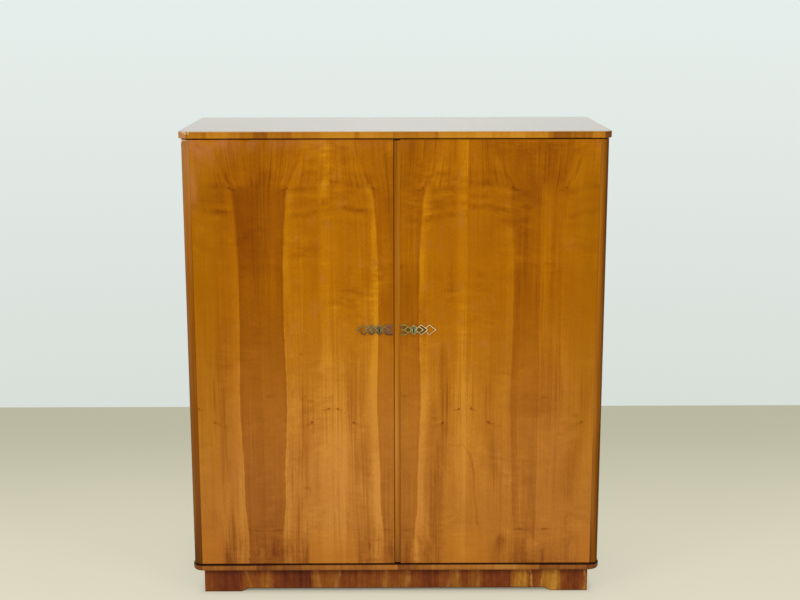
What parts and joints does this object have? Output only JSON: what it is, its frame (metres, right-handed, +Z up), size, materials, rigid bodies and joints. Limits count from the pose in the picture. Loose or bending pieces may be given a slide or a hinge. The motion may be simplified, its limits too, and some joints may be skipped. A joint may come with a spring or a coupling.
{
  "type": "wardrobe",
  "caption": "Low double-door wardrobe on a recessed plinth, with book-matched veneer doors on pivots, diamond-chain brass key plates, shelves on the left and a hanging rail on the right.",
  "frame": {"origin": "on the floor, in the middle of the footprint of the whole wardrobe", "axes": "+X to the right as one faces the doors, -Y out of the doors towards the user, +Z up"},
  "size_m": [1.25, 0.54, 1.42],
  "materials": {
    "door_veneer": "semi-gloss, book-matched golden-brown veneer",
    "edge_wood": "semi-gloss solid wood",
    "top_veneer": "gloss",
    "base_wood": "semi-gloss, worn edge",
    "side_veneer": "semi-gloss",
    "plinth_wood": "satin, dark stained",
    "inner_wood": "matt",
    "plywood": "raw",
    "beech": "satin",
    "dull_brass": "tarnished",
    "bright_brass": "polished by use",
    "key_plate": "satin, greenish grey",
    "steel": "satin",
    "lock_steel": "black lacquer",
    "felt": "felt"
  },
  "bodies": {
    "carcase": {"back_panel": "plywood", "bottom_board": "base_wood", "carcase_dowels": "beech", "carcase_screws": "steel", "centre_partition": "inner_wood", "centre_stile": "inner_wood", "door_buffers": "felt", "hanging_rail": "beech", "left_lock_studs": "steel", "left_pivot_pins": "steel", "left_side": "side_veneer", "lower_shelf": "inner_wood", "middle_shelf": "inner_wood", "plinth_back": "inner_wood", "plinth_front": "plinth_wood", "plinth_glue_blocks": "inner_wood", "plinth_left": "plinth_wood", "plinth_middle": "inner_wood", "plinth_right": "plinth_wood", "rail_sockets": "beech", "right_lock_studs": "steel", "right_pivot_pins": "steel", "right_side": "side_veneer", "shelf_pegs": "beech", "top_board": "top_veneer", "upper_shelf": "inner_wood"},
    "left_door": {"left_door_panel": "door_veneer", "left_door_lipping": "edge_wood", "left_pivot_bushes": "steel", "left_bush_screws": "steel", "left_escutcheon": "dull_brass", "left_key_plate": "key_plate", "left_lock_case": "lock_steel", "left_lock_screws": "steel", "left_rod_guides": "steel", "left_key_pin": "steel"},
    "left_lock_rod": {"left_lock_rod": "steel", "left_lock_hooks": "steel", "left_lock_cam": "steel"},
    "right_door": {"right_door_panel": "door_veneer", "right_door_lipping": "edge_wood", "right_pivot_bushes": "steel", "right_bush_screws": "steel", "right_escutcheon": "bright_brass", "right_key_plate": "key_plate", "right_lock_case": "lock_steel", "right_lock_screws": "steel", "right_rod_guides": "steel", "right_key_pin": "steel", "centre_strip": "edge_wood"},
    "right_lock_rod": {"right_lock_rod": "steel", "right_lock_hooks": "steel", "right_lock_cam": "steel"}
  },
  "joints": [
    {"name": "left_door_swing", "type": "hinge", "parent": "carcase", "child": "left_door", "pos_m": [-0.608, -0.249, 0.102], "axis": [0, 0, -1], "range_deg": [0, 110]},
    {"name": "right_door_swing", "type": "hinge", "parent": "carcase", "child": "right_door", "pos_m": [0.608, -0.249, 0.102], "axis": [0, 0, 1], "range_deg": [0, 110]},
    {"name": "left_lock_turn", "type": "hinge", "parent": "left_door", "child": "left_lock_rod", "pos_m": [-0.0258, -0.228, 0.835], "axis": [0, 0, -1], "range_deg": [0, 90]},
    {"name": "right_lock_turn", "type": "hinge", "parent": "right_door", "child": "right_lock_rod", "pos_m": [0.0346, -0.228, 0.835], "axis": [0, 0, 1], "range_deg": [0, 90]}
  ]
}
